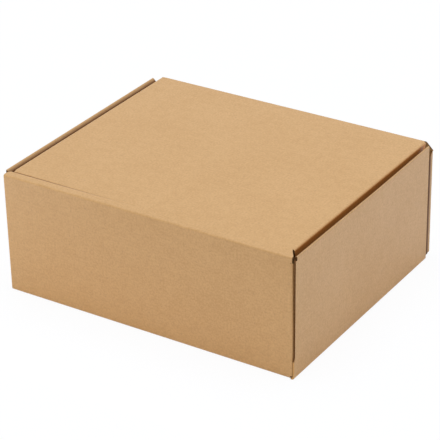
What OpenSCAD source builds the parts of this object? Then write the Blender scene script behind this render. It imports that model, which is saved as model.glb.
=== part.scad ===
// Roll-end mailer: one sheet of thin corrugated board, cut, creased and folded into a tray
// with a hinged, tucked-in lid. X runs along the long walls, Y from the hinge wall to the
// front wall, Z up. The origin is under the middle of the base.

/* [Box] */
// Length of the hinge wall and the front wall, from corner fold to corner fold
wall_length = 250; // [200:1:400]
// Depth over the hinge wall and the front wall
box_depth = 212.4; // [160:0.1:340]
// Height to the top of the lid
box_height = 98.5; // [80:1:160]

/* [Board] */
// Thickness of the board
board = 1.5; // [1.2:0.1:1.8]
// Outer radius of the folds along the base and the hinge wall
fold_radius = 2; // [1.8:0.1:3]
// Inner radius of those folds
fold_inner = 0.4; // [0.2:0.1:0.8]
// Outer radius of the upright corner folds and the lid's folds
corner_radius = 1.4; // [0.8:0.1:1.5]
// Room between two layers that are folded against each other
layer_gap = 0.15; // [0.1:0.05:0.4]
// Room between the hinge strip and the lid along the lid's crease
crease_gap = 0.3; // [0.2:0.1:0.6]

/* [Hinge strip] */
// Depth of the strip on top, from the hinge wall's face to the lid's crease
strip_depth = 7.7; // [7:0.1:14]
// Depth at which the strip's ends start to taper
strip_taper_start = 2.6; // [2.5:0.1:5]
// How far each end of the strip has tapered in at the crease
strip_taper = 4; // [3:0.1:6]

/* [Side walls] */
// How far a side wall leans out at its top
side_lean = 0.8; // [0:0.1:2]
// Slope of the rolled top, down from its outer fold towards the lid
roll_slope = 44; // [0:1:48]
// Outer radius of the rolled top's outer fold
roll_radius = 0.5; // [0.2:0.1:0.6]
// How far the rolled top lies under the lid's top
roll_drop = 0.1; // [0:0.1:2]
// Setback of the outer panel's cut edge behind the hinge wall's face
near_setback = 1.5; // [1:0.1:4]
// Setback of the roll and the inner panel behind the hinge wall's face
roll_setback = 5.5; // [4.5:0.1:10]
// Setback of the outer panel, roll and inner panel from the front wall's face
far_setback = 10.2; // [4:0.1:14]
// Height over which the two layers are pressed together under the roll
pinch_height = 10; // [6:0.5:14]
// Height of the shoulder where the inner layer spreads out below that
shoulder_height = 10; // [6:0.5:14]

/* [Corner flaps] */
// Reach of a corner flap along its side wall
flap_reach = 58; // [30:1:75]
// Room between a corner flap and the shoulder above it
flap_headroom = 1.5; // [0.5:0.1:6]
// Height of a corner flap's lower edge above the base's underside
flap_foot = 2.6; // [2.2:0.1:8]
// Room between the top of a corner fold and the strip's rounded fold
fold_headroom = 3; // [2:0.1:10]
// Length over which a corner flap slopes from its full height at the fold
flap_slope = 16; // [8:0.5:24]
// Gap between a front corner flap's upright shoulder and the side wall's end
shoulder_room = 0.5; // [0.3:0.1:1.5]

/* [Locking tabs] */
// Length of each tab along the side wall
tab_length = 30; // [15:1:40]
// Distance of each tab from the middle of the side wall
tab_offset = 48; // [25:1:55]
// Room around each tab in its slot
tab_clear = 0.2; // [0.1:0.05:0.5]
// Height of a tab's end above the base's underside
tab_recess = 0.3; // [0.1:0.1:0.6]

/* [Front wall] */
// Depth of the front wall's top edge under the lid's top
front_drop = 2.5; // [2:0.1:6]
// Size of the cut-off corners at the front wall's two upper ends
front_corner = 6; // [2:0.5:10]

/* [Lid] */
// Distance of the lid's sides from the corner folds
lid_inset = 3.9; // [3.6:0.1:8]
// Room between the tuck flap and the front wall
tuck_clear = 2.05; // [0.3:0.05:3]
// Length of the tuck flap from its fold to its free edge
tuck_depth = 38; // [20:1:50]
// Slope of the tuck flap into the box
tuck_angle = 6; // [6:0.5:10]
// Setback of the tuck flap's ends from the lid's sides, at the fold
tuck_inset = 4; // [3:0.5:12]
// Setback of the tuck flap's ends from the lid's sides, at the free edge
tuck_inset_end = 12; // [8:0.5:20]
// Radius of the tuck flap's two free corners
tuck_corner = 10; // [4:0.5:14]
// Depth of the dust flaps under the lid's top
dust_depth = 42; // [25:1:60]
// Distance of a dust flap's fold from the crease
dust_near = 3.2; // [2.5:0.1:15]
// Distance of a dust flap's fold from the front fold
dust_far = 5; // [4:0.5:30]
// How far a dust flap's free edge has tapered in at each end
dust_taper = 9; // [4:0.5:16]
// Radius of a dust flap's two free corners
dust_corner = 7; // [3:0.5:10]

/* [Hidden] */
kraft = [0.80, 0.65, 0.46];

// Segments in a rounded fold or corner
arc_steps = 6;
// Overlap that joins two stretches of the same sheet
lap = 6;
// Overshoot of a cut past the sheet it cuts
over = 1;
// Bend radius where a layer only spreads or closes
easy_bend = 4;

half_wall = wall_length / 2;
near_face = -box_depth / 2;
far_face = box_depth / 2;

// Side wall, from the corner flap outwards and inwards
side_face = half_wall + layer_gap + board;
side_mid = side_face - board / 2;
side_mid_top = side_mid + side_lean;
inner_mid = half_wall - board - layer_gap - board / 2;
roll_top = box_height - roll_drop;
roll_mid = roll_top - roll_radius - (board / 2 - roll_radius) * tan(45 + roll_slope / 2);
roll_inner_mid = side_mid_top - board - layer_gap;
roll_inner_top = roll_mid - (side_mid_top - roll_inner_mid) * tan(roll_slope);
pinch_foot = roll_mid - pinch_height;
shoulder_foot = pinch_foot - shoulder_height;
outer_panel_top = roll_top - corner_radius - layer_gap;
wall_near = near_face + near_setback;
roll_near = near_face + roll_setback;
wall_far = far_face - far_setback;

// Corner flaps
fold_top_near = box_height - fold_radius - fold_headroom;
front_top = box_height - front_drop;
fold_top_far = front_top - front_corner;
flap_top = shoulder_foot - flap_headroom;
end_cut = half_wall - corner_radius;

// Lid
crease_y = near_face + strip_depth;
lid_half = half_wall - lid_inset;
lid_near = crease_y + crease_gap / 2;
lid_far = far_face - board - tuck_clear;
lid_mid = box_height - board / 2;
dust_start = crease_y + dust_near;
dust_end = lid_far - dust_far;
tuck_foot_y = lid_far - board / 2 - tuck_depth * sin(tuck_angle);
tuck_foot_z = lid_mid - tuck_depth * cos(tuck_angle);

// Unit vector from a to b
function unit(a, b) = (b - a) / norm(b - a);

// The vector turned a quarter turn to the left
function left(v) = [-v[1], v[0]];

// Point i of a path, moved sideways by d with mitred corners
function beside(path, i, d) =
    let (
        last = len(path) - 1,
        u = unit(path[max(i - 1, 0)], path[max(i, 1)]),
        v = unit(path[min(i, last - 1)], path[min(i + 1, last)]),
        m = left(u) + left(v)
    )
    path[i] + m * (2 * d / (m * m));

// Turn of a path at point i: above 0 to the left, below 0 to the right
function turn(path, i) =
    (i == 0 || i == len(path) - 1) ? 0
    : cross(path[i] - path[i - 1], path[i + 1] - path[i]);

// Arc of radius r that rounds the corner b between a and c
function corner(a, b, c, r) =
    let (
        u = unit(b, a),
        v = unit(b, c),
        half = acos(u * v) / 2,
        centre = b + unit([0, 0], u + v) * r / sin(half),
        start = b + u * r / tan(half) - centre,
        side = sign(cross(b - a, c - b)),
        sweep = 180 - 2 * half
    )
    [for (k = [0:arc_steps])
        let (g = side * sweep * k / arc_steps)
        centre + [start[0] * cos(g) - start[1] * sin(g), start[0] * sin(g) + start[1] * cos(g)]];

// Closed outline with the corners rounded by the radii in r, where 0 leaves a corner sharp
function rounded(points, r) =
    let (n = len(points))
    [for (i = [0:n - 1])
        let (a = points[(i + n - 1) % n], b = points[i], c = points[(i + 1) % n])
        each (r[i] == 0 ? [b] : corner(a, b, c, r[i]))];

// Section of a folded sheet along a path of its middle plane. bends holds, for each point of
// the path, the outer and the inner radius of the fold there.
function sheet(path, bends) =
    let (
        last = len(path) - 1,
        points = concat(
            [for (i = [0:last]) beside(path, i, board / 2)],
            [for (i = [last:-1:0]) beside(path, i, -board / 2)]
        ),
        radii = concat(
            [for (i = [0:last]) bends[i][turn(path, i) > 0 ? 1 : 0]],
            [for (i = [last:-1:0]) bends[i][turn(path, i) > 0 ? 0 : 1]]
        )
    )
    rounded(points, radii);

FLAT_END = [0, 0];
LONG_FOLD = [fold_radius, fold_inner];
TIGHT_FOLD = [corner_radius, 0];
ROLL_FOLD = [roll_radius, 0];
EASY_FOLD = [easy_bend, easy_bend];

// Extrudes a Y-Z section along X
module along_x(from, to) {
    translate([from, 0, 0])
        rotate([90, 0, 90])
            linear_extrude(to - from) children();
}

// Extrudes an X-Z section along Y
module along_y(from, to) {
    translate([0, to, 0])
        rotate([90, 0, 0])
            linear_extrude(to - from) children();
}

// Both sides of the middle plane X = 0
module both_sides() {
    children();
    mirror([1, 0, 0]) children();
}

// Hinge strip, hinge wall, base and front wall, as one bent sheet
module long_panels() {
    path = [
        [crease_y - crease_gap / 2, lid_mid],
        [near_face + board / 2, lid_mid],
        [near_face + board / 2, board / 2],
        [far_face - board / 2, board / 2],
        [far_face - board / 2, front_top]
    ];
    along_x(-half_wall, half_wall)
        polygon(sheet(path, [FLAT_END, LONG_FOLD, LONG_FOLD, LONG_FOLD, FLAT_END]));
}

// Blank outside the corner folds, and the slanted ends of the strip and the front wall
module end_cuts() {
    translate([end_cut, near_face - over, -over])
        cube([board * 2, box_depth / 2 + over, fold_top_near + over]);
    translate([end_cut, -over, -over])
        cube([board * 2, box_depth / 2 + 2 * over, fold_top_far + over]);
    translate([0, 0, fold_top_near])
        linear_extrude(box_height)
            polygon([
                [half_wall, near_face + strip_taper_start],
                [half_wall - strip_taper, crease_y],
                [half_wall - strip_taper, crease_y + over],
                [half_wall + over, crease_y + over],
                [half_wall + over, near_face + strip_taper_start]
            ]);
    along_y(far_face - board - over, far_face + over)
        polygon([
            [half_wall - front_corner, front_top],
            [half_wall - front_corner, front_top + over],
            [half_wall + over, front_top + over],
            [half_wall + over, fold_top_far],
            [half_wall, fold_top_far]
        ]);
}

// Slots in the base for the locking tabs
module slots() {
    for (y = [-tab_offset, tab_offset])
        translate([inner_mid - board / 2 - tab_clear, y - tab_length / 2 - tab_clear, -over])
            cube([board + 2 * tab_clear, tab_length + 2 * tab_clear, board + over + layer_gap / 2]);
}

// Flap folded inwards from the end of a long wall, drawn at the hinge wall's +X end
module corner_flap(fold_top, slope_start, slope_end) {
    plan = [
        [half_wall - lap, near_face + board / 2],
        [half_wall - board / 2, near_face + board / 2],
        [half_wall - board / 2, near_face + flap_reach]
    ];
    intersection() {
        translate([0, 0, flap_foot])
            linear_extrude(fold_top - flap_foot)
                polygon(sheet(plan, [FLAT_END, TIGHT_FOLD, FLAT_END]));
        along_x(half_wall - lap - over, half_wall + over)
            polygon([
                [near_face - over, 0],
                [near_face + flap_reach + over, flap_foot],
                [near_face + flap_reach + over, flap_top],
                [near_face + slope_end, flap_top],
                [near_face + slope_start, fold_top],
                [near_face - over, fold_top]
            ]);
    }
}

// Outer panel of a side wall, folded up from the base
module outer_panel() {
    foot_x = end_cut - over;
    top_x = side_mid + side_lean * outer_panel_top / roll_mid;
    along_y(wall_near, wall_far)
        polygon(sheet(
            [[foot_x, board / 2], [side_mid, board / 2], [top_x, outer_panel_top]],
            [FLAT_END, LONG_FOLD, FLAT_END]
        ));
}

// Rolled top of a side wall and the inner panel that runs down from it to the base
module roll_and_inner_panel() {
    start_z = roll_mid - lap;
    start_x = side_mid + side_lean * start_z / roll_mid;
    path = [
        [start_x, start_z],
        [side_mid_top, roll_mid],
        [roll_inner_mid, roll_inner_top],
        [roll_inner_mid, pinch_foot],
        [inner_mid, shoulder_foot],
        [inner_mid, board + layer_gap]
    ];
    along_y(roll_near, wall_far)
        polygon(sheet(path, [FLAT_END, ROLL_FOLD, TIGHT_FOLD, EASY_FOLD, EASY_FOLD, FLAT_END]));
}

// Tabs on the inner panel's lower edge, standing in the base's slots
module tabs() {
    for (y = [-tab_offset, tab_offset])
        translate([inner_mid - board / 2, y - tab_length / 2, tab_recess])
            cube([board, tab_length, board + layer_gap + over]);
}

module tray() {
    color(kraft) {
        difference() {
            union() {
                difference() {
                    long_panels();
                    both_sides() end_cuts();
                }
                both_sides() outer_panel();
            }
            both_sides() slots();
        }
        both_sides() {
            corner_flap(fold_top_near, board + layer_gap, flap_slope);
            mirror([0, 1, 0])
                corner_flap(fold_top_far, far_setback - shoulder_room - board, far_setback - shoulder_room);
            roll_and_inner_panel();
            tabs();
        }
    }
}

// Lid panel and tuck flap, as one bent sheet
module lid_panels() {
    path = [
        [lid_near, lid_mid],
        [lid_far - board / 2, lid_mid],
        [tuck_foot_y, tuck_foot_z]
    ];
    tuck_half = lid_half - tuck_inset;
    tuck_half_end = lid_half - tuck_inset_end;
    fold_z = box_height - board;
    foot_z = tuck_foot_z - board / 2;
    intersection() {
        along_x(-lid_half, lid_half)
            polygon(sheet(path, [FLAT_END, TIGHT_FOLD, FLAT_END]));
        along_y(lid_near - over, far_face)
            polygon(rounded(
                [
                    [-lid_half - over, box_height + over],
                    [-lid_half - over, fold_z],
                    [-tuck_half, fold_z],
                    [-tuck_half_end, foot_z],
                    [tuck_half_end, foot_z],
                    [tuck_half, fold_z],
                    [lid_half + over, fold_z],
                    [lid_half + over, box_height + over]
                ],
                [0, 0, 0, tuck_corner, tuck_corner, 0, 0, 0]
            ));
    }
}

// Strip of the lid's edge that the dust flap's fold takes the place of
module dust_fold_cut() {
    translate([lid_half - corner_radius, dust_start, box_height - board - over])
        cube([corner_radius + over, dust_end - dust_start, board + 2 * over]);
}

// Flap folded down from the lid's +X side
module dust_flap() {
    path = [
        [lid_half - lap, lid_mid],
        [lid_half - board / 2, lid_mid],
        [lid_half - board / 2, box_height - dust_depth]
    ];
    foot_z = box_height - dust_depth;
    root_z = box_height - 2 * board;
    intersection() {
        along_y(dust_start, dust_end)
            polygon(sheet(path, [FLAT_END, TIGHT_FOLD, FLAT_END]));
        along_x(lid_half - lap - over, lid_half + over)
            polygon(rounded(
                [
                    [dust_start, box_height + over],
                    [dust_start, root_z],
                    [dust_start + dust_taper, foot_z],
                    [dust_end - dust_taper, foot_z],
                    [dust_end, root_z],
                    [dust_end, box_height + over]
                ],
                [0, 0, dust_corner, dust_corner, 0, 0]
            ));
    }
}

module lid() {
    color(kraft) {
        difference() {
            lid_panels();
            both_sides() dust_fold_cut();
        }
        both_sides() dust_flap();
    }
}

tray();
lid();
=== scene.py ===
"""Looks of a closed roll-end mailing box, folded from one sheet of thin corrugated board.

The board is cut out flat, with its outline, slots and score lines, and each point of the
flat sheet is then carried round the folds. Flat points are (u, v, w) in millimetres: u runs
along the long walls, v across them, and w through the board towards its outer liner.
"""

import logging
import math
from abc import ABC, abstractmethod
from dataclasses import dataclass, field
from enum import Enum
from typing import Callable, Iterable, Sequence

import bmesh
import bpy
from mathutils import Matrix, Vector


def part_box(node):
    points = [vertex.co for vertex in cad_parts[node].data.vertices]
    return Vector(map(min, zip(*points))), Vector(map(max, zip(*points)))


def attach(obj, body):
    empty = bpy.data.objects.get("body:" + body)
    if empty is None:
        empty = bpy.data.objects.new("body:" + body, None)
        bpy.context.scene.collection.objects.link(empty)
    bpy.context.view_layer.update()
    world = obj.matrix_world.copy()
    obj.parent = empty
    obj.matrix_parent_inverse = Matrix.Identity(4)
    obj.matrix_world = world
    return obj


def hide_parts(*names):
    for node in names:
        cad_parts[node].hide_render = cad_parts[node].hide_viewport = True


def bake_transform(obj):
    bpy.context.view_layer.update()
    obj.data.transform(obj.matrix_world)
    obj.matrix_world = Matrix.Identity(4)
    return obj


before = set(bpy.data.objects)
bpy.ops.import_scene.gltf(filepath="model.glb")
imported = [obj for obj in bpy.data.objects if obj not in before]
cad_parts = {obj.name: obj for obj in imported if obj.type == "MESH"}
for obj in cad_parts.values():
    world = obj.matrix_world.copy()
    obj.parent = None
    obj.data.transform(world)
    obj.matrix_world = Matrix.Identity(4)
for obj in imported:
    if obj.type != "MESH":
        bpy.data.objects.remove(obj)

LOG = logging.getLogger("mailing_box")
MM = 0.001
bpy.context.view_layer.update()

# The smallest distance that counts and the width of a knife's cut, in millimetres.
HAIR = 1e-4
KERF = 0.3

# The map of flat places, in metres, and how far the inner liner is moved aside on it.
FLAT_MAP = "flat"
INNER_SHIFT = Vector((2.0, 0.0))

# Faces that meet at more than this angle have a sharp edge.
SHARP_ANGLE = math.radians(35)

# Numbers of the inputs of a colour mix, which are the share and the two colours, and of its result.
COLOUR_INPUTS = (0, 6, 7)
COLOUR_OUTPUT = 2

Colour = tuple[float, float, float]
FlatPoint = tuple[float, float]
Placer = Callable[[float, float, float], Vector]
Test = Callable[[float, float], bool]
CutEdge = tuple[Vector, Vector, Vector]
Piece = bpy.types.Object
Socket = bpy.types.NodeSocket
Inputs = dict[str | int, object]


class NormalSide(Enum):
    """Side of a fold line, seen along it, on which the outer liner lies."""

    LEFT = 1.0
    RIGHT = -1.0


class Body(Enum):
    """The two bodies of the box."""

    TRAY = "tray"
    LID = "lid"


class Half(Enum):
    """The two halves of a sheet, to either side of u = 0."""

    RIGHT = 1.0
    LEFT = -1.0


def nowhere(u: float, v: float) -> bool:
    """A test that no place passes."""
    return False


def smooth(value: float, low: float, high: float) -> float:
    """Rises smoothly from 0 at low to 1 at high."""
    t = min(max((value - low) / (high - low), 0.0), 1.0)
    return t * t * (3 - 2 * t)


def spaced(low: float, high: float, step: float) -> list[float]:
    """Even positions between low and high, about step apart, without the two ends."""
    count = max(1, round((high - low) / step))
    return [low + (high - low) * k / count for k in range(1, count)]


def round_corner(a: FlatPoint, b: FlatPoint, c: FlatPoint, radius: float, steps: int) -> list[FlatPoint]:
    """Points of the line a-b-c with its corner at b rounded.

    Args:
        a: start of the line.
        b: its corner.
        c: its end.
        radius: radius of the corner.
        steps: straight pieces in the corner.

    Returns:
        The points, from a to c.
    """
    start, corner, end = Vector(a), Vector(b), Vector(c)
    u, v = (start - corner).normalized(), (end - corner).normalized()
    half = u.angle(v) / 2
    centre = corner + (u + v).normalized() * (radius / math.sin(half))
    first = corner + u * (radius / math.tan(half)) - centre
    sweep = math.copysign(math.pi - 2 * half, (corner - start).cross(end - corner))
    arc = [centre + Matrix.Rotation(sweep * k / steps, 2) @ first for k in range(steps + 1)]
    return [a, *((p.x, p.y) for p in arc), c]


@dataclass(frozen=True)
class Board:
    """Thin corrugated board: two liners with a fluted medium between them, in millimetres."""

    thickness: float = 1.5
    liner: float = 0.24
    medium: float = 0.16
    flute_pitch: float = 3.3
    flute_steps: int = 8
    cut_recess: float = 0.7

    @property
    def half(self) -> float:
        """Half the board's thickness."""
        return self.thickness / 2

    @property
    def core_half(self) -> float:
        """Distance of a liner's inner face from the board's middle."""
        return self.half - self.liner


@dataclass(frozen=True)
class Bend:
    """Radii of a fold in millimetres, on the outside and on the inside of the board."""

    outer: float
    inner: float


def to_left(direction: Vector) -> Vector:
    """The direction turned a quarter turn to the left."""
    return Vector((-direction.y, direction.x))


@dataclass(frozen=True)
class Fold:
    """One fold of a fold line, with the directions of its two panels."""

    s: float
    corner: Vector
    before: Vector
    after: Vector
    turn: float
    bend: Bend
    reach: float

    def face(self, share: float, outward: float) -> Vector:
        """Point on one face of the board, part of the way through the fold.

        Args:
            share: how far through the bent zone, from 0 to 1.
            outward: the face's distance from the middle plane, away from the inside of the fold.

        Returns:
            The point in the fold line's own plane.
        """
        half_tan = math.tan(abs(self.turn) / 2)
        radius = self.bend.outer if outward > 0 else self.bend.inner
        straight = self.reach + (outward - radius) * half_tan
        total = 2 * straight + radius * abs(self.turn)
        run = share * total
        hand = math.copysign(1.0, self.turn)
        if run >= total - straight:
            end = self.corner + self.after * self.reach - to_left(self.after) * (hand * outward)
            return end - self.after * (total - run)
        start = self.corner - self.before * self.reach - to_left(self.before) * (hand * outward)
        if run <= straight:
            return start + self.before * run
        angle = (run - straight) / radius
        ahead = self.before * (straight + radius * math.sin(angle))
        return start + ahead + to_left(self.before) * (hand * radius * (1 - math.cos(angle)))


@dataclass
class FoldLine:
    """The board seen edge-on: flat panels joined by folds.

    Length s along the line is measured on the middle plane from corner to corner, and is also
    the distance on the flat sheet.
    """

    corners: Sequence[FlatPoint]
    bends: Sequence[Bend]
    side: NormalSide
    half: float
    slack: float = 0.04
    folds: list[Fold] = field(default_factory=list)

    def __post_init__(self) -> None:
        """Lays out the folds."""
        points = [Vector(c) for c in self.corners]
        legs = [b - a for a, b in zip(points, points[1:])]
        s = 0.0
        for corner, leg, following, bend in zip(points[1:], legs, legs[1:], self.bends):
            s += leg.length
            before, after = leg.normalized(), following.normalized()
            turn = math.atan2(before.cross(after), before.dot(after))
            widest = max(bend.outer - self.half, bend.inner + self.half)
            reach = widest * math.tan(abs(turn) / 2) + self.slack
            self.folds.append(Fold(s, corner, before, after, turn, bend, reach))
        self.length = s + legs[-1].length

    def panel(self, index: int) -> tuple[float, float]:
        """Finds where a flat panel lies along the line.

        Args:
            index: its number, from 0.

        Returns:
            Its start and its end.
        """
        start = self.folds[index - 1].s + self.folds[index - 1].reach if index else 0.0
        end = self.folds[index].s - self.folds[index].reach if index < len(self.folds) else self.length
        return start, end

    def scores(self, steps: int, margin: float) -> list[float]:
        """Finds the lines that divide each fold, with one more to each side of it.

        Args:
            steps: pieces in each fold.
            margin: distance of the outer lines from the fold.

        Returns:
            Their distances along the line.
        """
        lines = []
        for fold in self.folds:
            lines += [fold.s + fold.reach * (2 * k / steps - 1) for k in range(steps + 1)]
            lines += [fold.s - fold.reach - margin, fold.s + fold.reach + margin]
        return [x for x in lines if 0 < x < self.length]

    def at(self, s: float, w: float) -> Vector:
        """Carries a point of the flat board, seen edge-on, to its folded place.

        Args:
            s: distance along the line; past either end the line runs on straight.
            w: distance from the middle plane, towards the outer liner.

        Returns:
            The point in the fold line's own plane.
        """
        for fold in self.folds:
            if abs(s - fold.s) < fold.reach:
                outward = -w * self.side.value * math.copysign(1.0, fold.turn)
                share = (s - fold.s + fold.reach) / (2 * fold.reach)
                outer, inner = fold.face(share, self.half), fold.face(share, -self.half)
                return inner.lerp(outer, (outward / self.half + 1) / 2)
        last = self.folds[-1]
        if s > last.s:
            return last.corner + last.after * (s - last.s) + to_left(last.after) * (w * self.side.value)
        fold = next(f for f in self.folds if s < f.s)
        return fold.corner - fold.before * (fold.s - s) + to_left(fold.before) * (w * self.side.value)


@dataclass
class MailerPlan:
    """Sizes of the folded box in millimetres. The overall ones are read from the frame."""

    height: float
    depth: float
    side_top: float
    board: Board = field(default_factory=Board)
    layer_gap: float = 0.15
    side_lean: float = 0.8
    long_bend: Bend = Bend(2.0, 0.4)
    top_bend: Bend = Bend(1.6, 0.1)
    tight_bend: Bend = Bend(1.4, 0.02)
    roll_bend: Bend = Bend(0.5, 0.02)
    easy_bend: Bend = Bend(5.5, 4.0)
    strip_depth: float = 7.7
    strip_tip: float = 121.0
    crease_half: float = 2.4
    crease_end: float = 119.6
    roll_lead: float = 2.0
    cell: float = 9.0
    fold_steps: int = 6
    fold_margin: float = 0.5

    @classmethod
    def from_frame(cls) -> "MailerPlan":
        """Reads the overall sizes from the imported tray."""
        low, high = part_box(Body.TRAY.value)
        return cls(height=high.z / MM, depth=(high.y - low.y) / MM, side_top=high.x / MM)

    @property
    def near(self) -> float:
        """The hinge wall's outer face."""
        return -self.depth / 2

    @property
    def far(self) -> float:
        """The front wall's outer face."""
        return self.depth / 2

    @property
    def side_mid(self) -> float:
        """Middle plane of a side wall's outer panel, at its foot."""
        return self.side_top - self.side_lean - self.board.half

    @property
    def wall_end(self) -> float:
        """Outer face of the corner folds at the ends of the long walls."""
        return self.side_mid - self.board.half - self.layer_gap

    @property
    def crease(self) -> float:
        """The lid's crease."""
        return self.near + self.strip_depth

    @property
    def top_mid(self) -> float:
        """Middle plane of the lid and the strip."""
        return self.height - self.board.half

    @property
    def roll_shade_start(self) -> float:
        """Flat u at which the painted shade on the side walls' rolls starts."""
        return self.side_mid + self.height - self.roll_lead


@dataclass
class FlatSheet:
    """A sheet of board that is cut out flat, made thick and then folded.

    Its edges are joined to another sheet or pressed shut where those tests pass, and have
    no channel there. A face belongs to the rim if its normal rises less than rim_slope, and
    least_reach limits how far a sharp corner of the channel is sunk.
    """

    board: Board
    joined: Test
    pressed: Test = nowhere
    rim_slope: float = 0.5
    least_reach: float = 0.4
    middle: Vector = field(default_factory=lambda: Vector((0.0, 0.0)))
    mesh: bmesh.types.BMesh = field(default_factory=bmesh.new)

    def lay(self, u_half: float, v_low: float, v_high: float) -> None:
        """Starts from one rectangle.

        Args:
            u_half: half its width.
            v_low: its near edge.
            v_high: its far edge.
        """
        bmesh.ops.create_grid(self.mesh, x_segments=1, y_segments=1, size=1.0)
        bmesh.ops.scale(self.mesh, verts=self.mesh.verts, vec=(u_half, (v_high - v_low) / 2, 1))
        self.middle.y = (v_high + v_low) / 2
        bmesh.ops.translate(self.mesh, verts=self.mesh.verts, vec=(0, (v_high + v_low) / 2, 0))

    def cut_along(self, point: FlatPoint, normal: FlatPoint, within: Test | None = None) -> None:
        """Cuts the faces along a straight line.

        Args:
            point: a flat point on the line.
            normal: a flat vector across the line.
            within: limits the cut to faces whose middle passes this test.
        """
        if within is None:
            geom = [*self.mesh.verts, *self.mesh.edges, *self.mesh.faces]
        else:
            faces = [f for f in self.mesh.faces if within(*f.calc_center_median().xy)]
            edges = {e for f in faces for e in f.edges}
            geom = [*{v for f in faces for v in f.verts}, *edges, *faces]
        bmesh.ops.bisect_plane(
            self.mesh, geom=geom, dist=HAIR, plane_co=(*point, 0), plane_no=(*normal, 0)
        )

    def score(self, us: Iterable[float], vs: Iterable[float]) -> None:
        """Divides both halves of the sheet along lines of constant u and of constant v.

        Args:
            us: distances of the first lines from the middle.
            vs: places of the second lines.
        """
        for u in sorted({round(sign * u, 4) for u in us for sign in (1, -1)}):
            self.cut_along((u, 0), (1, 0))
        for v in sorted({round(v, 4) for v in vs}):
            self.cut_along((0, v), (0, 1))

    def drop(self, unwanted: Test) -> None:
        """Takes away the faces whose middle passes the test."""
        faces = [f for f in self.mesh.faces if unwanted(*f.calc_center_median().xy)]
        bmesh.ops.delete(self.mesh, geom=faces, context="FACES")

    def drop_outside(self, half: Half, unwanted: Test) -> None:
        """Takes away faces of one half by a test on the distance from the middle and on v."""
        sign = half.value
        self.drop(lambda u, v: u * sign > 0 and unwanted(u * sign, v))

    def trim(self, half: Half, line: Sequence[FlatPoint], within: Test) -> None:
        """Trims one half along straight lines and keeps the side of each on which the sheet's middle lies.

        Args:
            half: the half to trim; flat points and tests count u outwards from the middle.
            line: the points that the lines join. Each line runs on as far as within allows.
            within: limits the trim to faces whose middle passes this test.
        """
        sign = half.value
        for a, b in zip(line, line[1:]):
            start, across = Vector(a), Vector((b[1] - a[1], a[0] - b[0]))
            if across.dot(self.middle - start) > 0:
                across.negate()
            self.cut_along((a[0] * sign, a[1]), (across.x * sign, across.y),
                           lambda u, v: u * sign > 0 and within(u * sign, v))
            self.drop_outside(half, lambda u, v: within(u, v) and across.dot(Vector((u, v)) - start) > 0)

    def cut_edges(self) -> list[CutEdge]:
        """Finds the edges of the flat sheet that are real cuts.

        Returns:
            The start, end and inward direction of each.
        """
        found = []
        for edge in self.mesh.edges:
            middle = (edge.verts[0].co + edge.verts[1].co) / 2
            place = (middle.x, middle.y)
            if not edge.is_boundary or self.joined(*place) or self.pressed(*place):
                continue
            a, b = edge.verts[0].co.copy(), edge.verts[1].co.copy()
            inward = Vector((a.y - b.y, b.x - a.x, 0)).normalized()
            if inward.dot(edge.link_faces[0].calc_center_median() - middle) < 0:
                inward.negate()
            found.append((a, b, inward))
        return found

    def thicken(self) -> None:
        """Makes the flat sheet a slab, with a channel between the liners at its cut edges."""
        bm, board = self.mesh, self.board
        bmesh.ops.translate(bm, verts=bm.verts, vec=(0, 0, -board.half))
        made = bmesh.ops.extrude_face_region(bm, geom=bm.faces[:])
        raised = [g for g in made["geom"] if isinstance(g, bmesh.types.BMVert)]
        bmesh.ops.translate(bm, verts=raised, vec=(0, 0, board.thickness))
        upright = [e for e in bm.edges if abs(e.verts[0].co.z - e.verts[1].co.z) > board.half]
        bmesh.ops.subdivide_edges(bm, edges=upright, cuts=2)
        for vert in bm.verts:
            if abs(vert.co.z) < board.half - HAIR:
                vert.co.z = math.copysign(board.core_half, vert.co.z)
        bmesh.ops.recalc_face_normals(bm, faces=bm.faces)
        self.open_channel()

    def open_channel(self) -> None:
        """Sinks the band between the liners into the slab where its edge is an open cut."""
        bm, board = self.mesh, self.board
        rim = [f for f in bm.faces if abs(f.normal.z) < self.rim_slope]
        for face in rim:
            face.material_index = 1
        core = [
            f for f in rim
            if all(abs(v.co.z) < board.half - HAIR for v in f.verts)
            and not self.joined(*f.calc_center_median().xy)
            and not self.pressed(*f.calc_center_median().xy)
        ]
        made = bmesh.ops.extrude_face_region(bm, geom=[*core, *{e for f in core for e in f.edges}])
        sunk = [g for g in made["geom"] if isinstance(g, bmesh.types.BMFace)]
        shifts: dict[bmesh.types.BMVert, list[Vector]] = {}
        for face in sunk:
            for vert in face.verts:
                shifts.setdefault(vert, []).append(face.normal.copy())
        for vert, normals in shifts.items():
            total = normals[0].copy()
            for normal in normals[1:]:
                if normal.dot(normals[0]) < 1 - HAIR:
                    total = normals[0] + normal
            reach = max(total.dot(normals[0]), self.least_reach)
            vert.co -= total * (board.cut_recess / reach)
        for vert in shifts:
            for face in vert.link_faces:
                face.material_index = 1

    def map_flat(self, v_sign: float) -> None:
        """Keeps each corner's flat place, in metres, as the mesh's UV map.

        Args:
            v_sign: -1 where v runs against the lid's direction.
        """
        uv = self.mesh.loops.layers.uv.new(FLAT_MAP)
        for face in self.mesh.faces:
            shift = INNER_SHIFT if face.calc_center_median().z < -self.board.core_half else Vector((0.0, 0.0))
            for loop in face.loops:
                x, y, _ = loop.vert.co
                loop[uv].uv = Vector((x * MM, y * MM * v_sign)) + shift


def fold_mesh(bm: bmesh.types.BMesh, placer: Placer) -> None:
    """Carries a flat mesh to its folded place, in metres, with its normals outward.

    Args:
        bm: the mesh.
        placer: carries a flat point to its folded place.
    """
    for vert in bm.verts:
        vert.co = placer(*vert.co) * MM
    if bm.calc_volume(signed=True) < 0:
        bmesh.ops.reverse_faces(bm, faces=bm.faces)


@dataclass(frozen=True)
class Finishes:
    """The two materials of the board."""

    liner: bpy.types.Material
    edge: bpy.types.Material


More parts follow.
